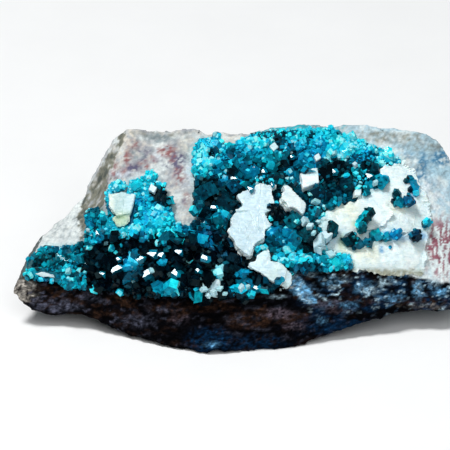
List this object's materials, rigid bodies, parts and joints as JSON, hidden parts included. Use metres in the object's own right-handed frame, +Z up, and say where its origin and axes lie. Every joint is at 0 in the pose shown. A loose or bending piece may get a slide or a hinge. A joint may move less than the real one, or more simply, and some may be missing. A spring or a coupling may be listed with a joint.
{
  "type": "dioptase cluster",
  "caption": "Wedge-shaped limestone hand specimen whose sloping face carries a crust of blue-green dioptase crystals among blocky white calcite; lies on its flat underside.",
  "frame": {"origin": "on the resting plane, under the middle of the bounding box", "axes": "+X along the specimen from its pointed end to its blunt end, +Y from the dark broken front side to the back, +Z up"},
  "size_m": [0.0918, 0.047, 0.0325],
  "materials": {
    "matrix": "rough broken limestone, pale grey-cream on the face, nearly black on the broken front",
    "calcite": "bluish-white, waxy to glassy cleavage faces, slightly translucent",
    "dioptase": "glassy crystal faces, light cyan where small to nearly black blue-green where deep"
  },
  "bodies": {
    "root": {"matrix": "matrix", "calcite_big": "calcite", "calcite_slant": "calcite", "calcite_low": "calcite", "calcite_right": "calcite", "calcite_left": "calcite", "calcite_foot": "calcite", "calcite_tip": "calcite", "calcite_rhomb_1": "calcite", "calcite_rhomb_2": "calcite", "calcite_rhomb_3": "calcite", "calcite_rhomb_4": "calcite", "calcite_rhomb_5": "calcite", "dioptase_crust": "dioptase", "dioptase_prism": "dioptase", "dioptase_sprig": "dioptase", "dioptase_group": "dioptase", "dioptase_single": "dioptase", "dioptase_outlier": "dioptase", "dioptase_ring": "dioptase"}
  },
  "joints": []
}
